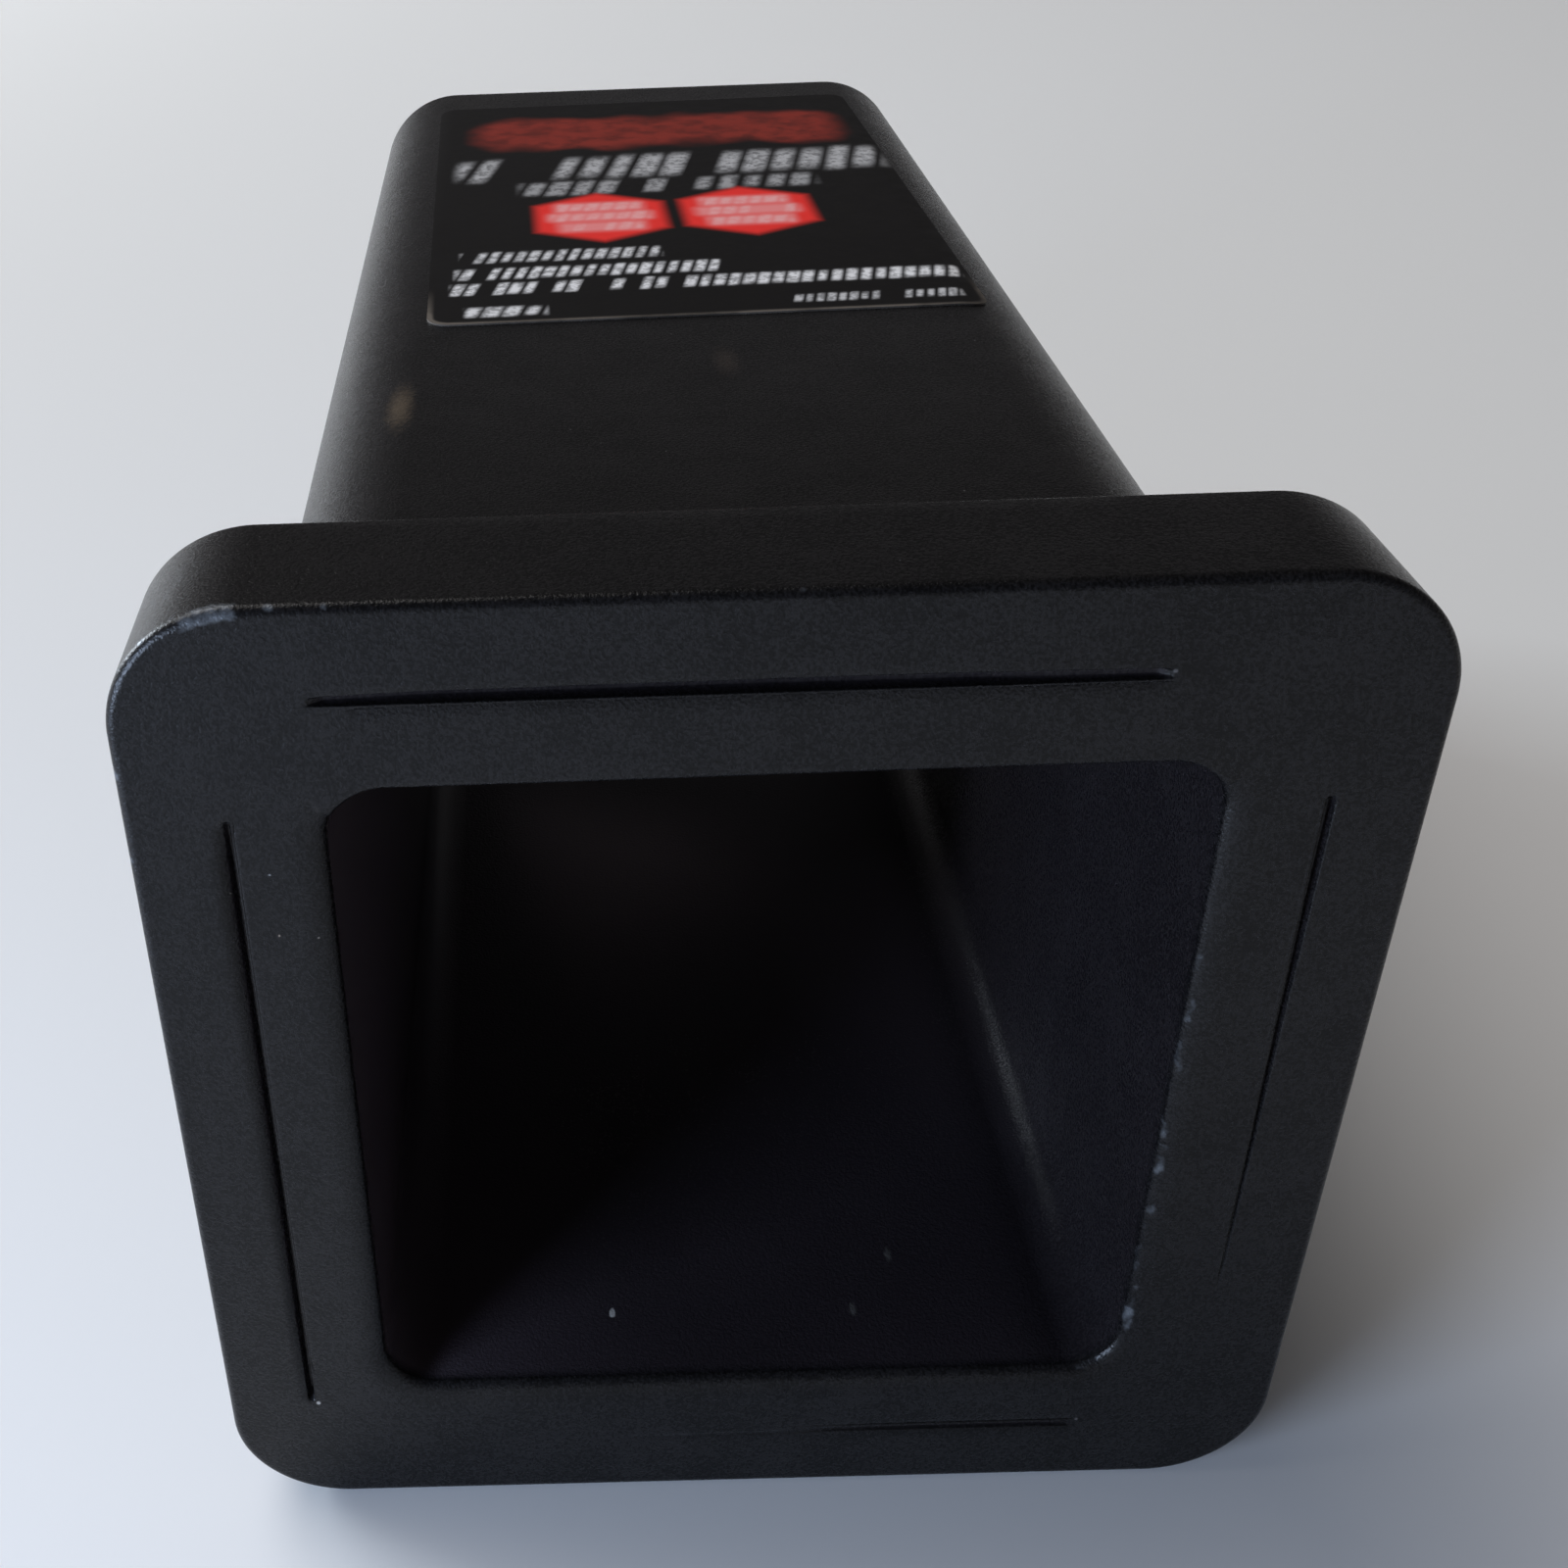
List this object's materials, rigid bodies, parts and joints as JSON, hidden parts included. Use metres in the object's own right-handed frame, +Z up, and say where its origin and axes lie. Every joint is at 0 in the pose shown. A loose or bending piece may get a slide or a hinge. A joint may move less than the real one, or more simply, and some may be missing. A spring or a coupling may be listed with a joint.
{
  "type": "hitch reducer sleeve",
  "caption": "Square tube sleeve with a thick square collar round its mouth and a cross hole for the hitch pin, so that a large hitch receiver takes a smaller square shank.",
  "frame": {"origin": "on the tube's axis, in the plane of the collar's shoulder, which seats on the receiver", "axes": "+Y along the tube, away from its mouth; +X along the hitch pin hole; +Z up, on the side with the label"},
  "size_m": [0.0762, 0.147, 0.0762],
  "materials": {
    "black_paint": "black powder coat on steel, satin, fine grain, chipped at some edges",
    "label_film": "smooth black printed film, slightly glossy"
  },
  "bodies": {
    "root": {"tube": "black_paint", "collar": "black_paint", "weld_top_left": "black_paint", "weld_top_right": "black_paint", "weld_bottom_left": "black_paint", "weld_bottom_right": "black_paint", "label": "label_film"}
  },
  "joints": []
}
